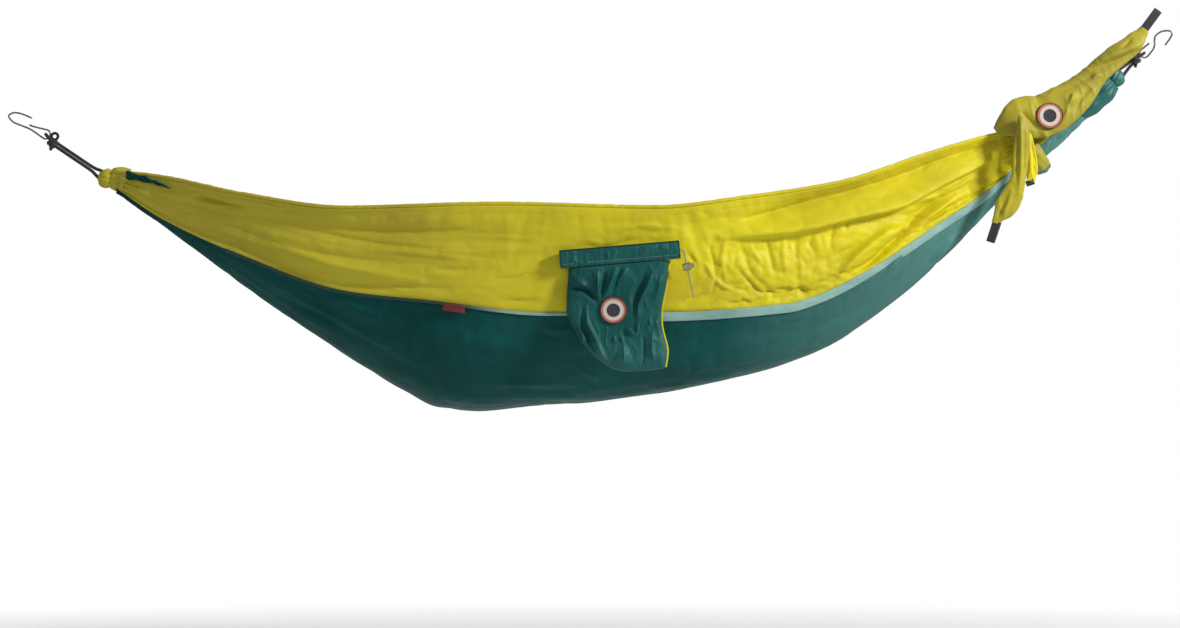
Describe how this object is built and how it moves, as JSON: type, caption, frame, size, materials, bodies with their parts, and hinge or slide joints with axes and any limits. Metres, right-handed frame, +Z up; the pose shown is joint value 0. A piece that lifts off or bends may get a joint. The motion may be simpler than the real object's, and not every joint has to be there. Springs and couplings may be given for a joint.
{
  "type": "camping hammock",
  "caption": "Compact two-colour camping hammock hung by S-hooks on doubled cords, with a drawstring stuff pouch on its side and a slim pillow tied round one end.",
  "frame": {"origin": "inside of the left S-hook's upper bend, where the hammock hangs from its strap", "axes": "+X runs along the hammock from the left hook to the right one, +Y away from the pouch's side, +Z up"},
  "size_m": [2.0589, 0.3965, 0.708],
  "materials": {
    "yellow_cloth": "satin woven nylon, yellow",
    "green_cloth": "satin woven nylon, dark green",
    "seam_tape": "satin tape, pale teal",
    "cord": "braided black polyester",
    "webbing": "flat woven black webbing",
    "steel": "plated wire, satin",
    "patch": "stitched round patch",
    "red_tag": "woven tag, maroon",
    "drawcord": "thin braided cord, olive",
    "olive_plastic": "moulded, matte"
  },
  "bodies": {
    "hammock": {"near_side_panel": "yellow_cloth", "far_side_panel": "yellow_cloth", "centre_panel": "green_cloth", "near_seam_band": "seam_tape", "far_seam_band": "seam_tape", "near_hem": "yellow_cloth", "far_hem": "yellow_cloth", "seam_tag": "red_tag", "left_end_sleeve": "yellow_cloth", "right_end_sleeve": "green_cloth", "pouch_header": "green_cloth", "drawstring": "drawcord", "drawstring_tail": "drawcord", "pillow_front": "yellow_cloth", "pillow_back": "green_cloth", "pillow_patch": "patch", "knot_band": "yellow_cloth", "knot_underside": "green_cloth", "short_tail": "yellow_cloth", "short_tail_tip": "webbing"},
    "left_rope": {"left_rope": "cord", "left_rope_knot": "cord"},
    "left_hook": {"left_s_hook": "steel"},
    "right_rope": {"right_rope": "cord", "right_rope_knot": "cord"},
    "right_hook": {"right_s_hook": "steel"},
    "pouch": {"pouch_front": "green_cloth", "pouch_back": "yellow_cloth", "pouch_patch": "patch"},
    "cord_lock": {"cord_lock": "olive_plastic"},
    "lock_button": {"lock_button": "olive_plastic"},
    "long_tail": {"long_tail": "yellow_cloth"},
    "tail_webbing": {"tail_webbing": "webbing"},
    "top_webbing": {"top_webbing": "webbing"}
  },
  "joints": [
    {"name": "left_rope_swing", "type": "hinge", "parent": "hammock", "child": "left_rope", "pos_m": [0.168, 0, -0.1085], "axis": [0, 1, 0], "range_deg": [-22, 22]},
    {"name": "left_hook_swing", "type": "hinge", "parent": "left_rope", "child": "left_hook", "pos_m": [0.0639, 0, -0.0324], "axis": [0, 1, 0], "range_deg": [-40, 40]},
    {"name": "right_rope_swing", "type": "hinge", "parent": "hammock", "child": "right_rope", "pos_m": [1.9565, 0, 0.07], "axis": [0, 1, 0], "range_deg": [-22, 22]},
    {"name": "right_hook_swing", "type": "hinge", "parent": "right_rope", "child": "right_hook", "pos_m": [2.0048, 0, 0.1111], "axis": [0, 1, 0], "range_deg": [-40, 40]},
    {"name": "pouch_swing", "type": "hinge", "parent": "hammock", "child": "pouch", "pos_m": [1.077, -0.2031, -0.26365], "axis": [-0.9965, 0, -0.0837], "range_deg": [0, 70]},
    {"name": "lock_slide", "type": "slide", "parent": "hammock", "child": "cord_lock", "axis": [0.2294, 0, -0.9733], "range_m": [0, 0.03]},
    {"name": "lock_press", "type": "slide", "parent": "cord_lock", "child": "lock_button", "axis": [-0.9733, 0, -0.2294], "range_m": [0, 0.0035], "stiffness_N_per_m": 800, "springref_m": -0.001},
    {"name": "long_tail_swing", "type": "hinge", "parent": "hammock", "child": "long_tail", "pos_m": [1.7824, -0.081, -0.0035], "axis": [0, 1, 0], "range_deg": [-10, 20]},
    {"name": "tail_webbing_swing", "type": "hinge", "parent": "long_tail", "child": "tail_webbing", "pos_m": [1.7398, -0.0755, -0.188], "axis": [0, 1, 0], "range_deg": [-12, 28]},
    {"name": "top_webbing_bend", "type": "hinge", "parent": "hammock", "child": "top_webbing", "pos_m": [1.999, -0.03, 0.1475], "axis": [0, 1, 0], "range_deg": [-30, 40], "stiffness_Nm_per_rad": 0.02}
  ]
}
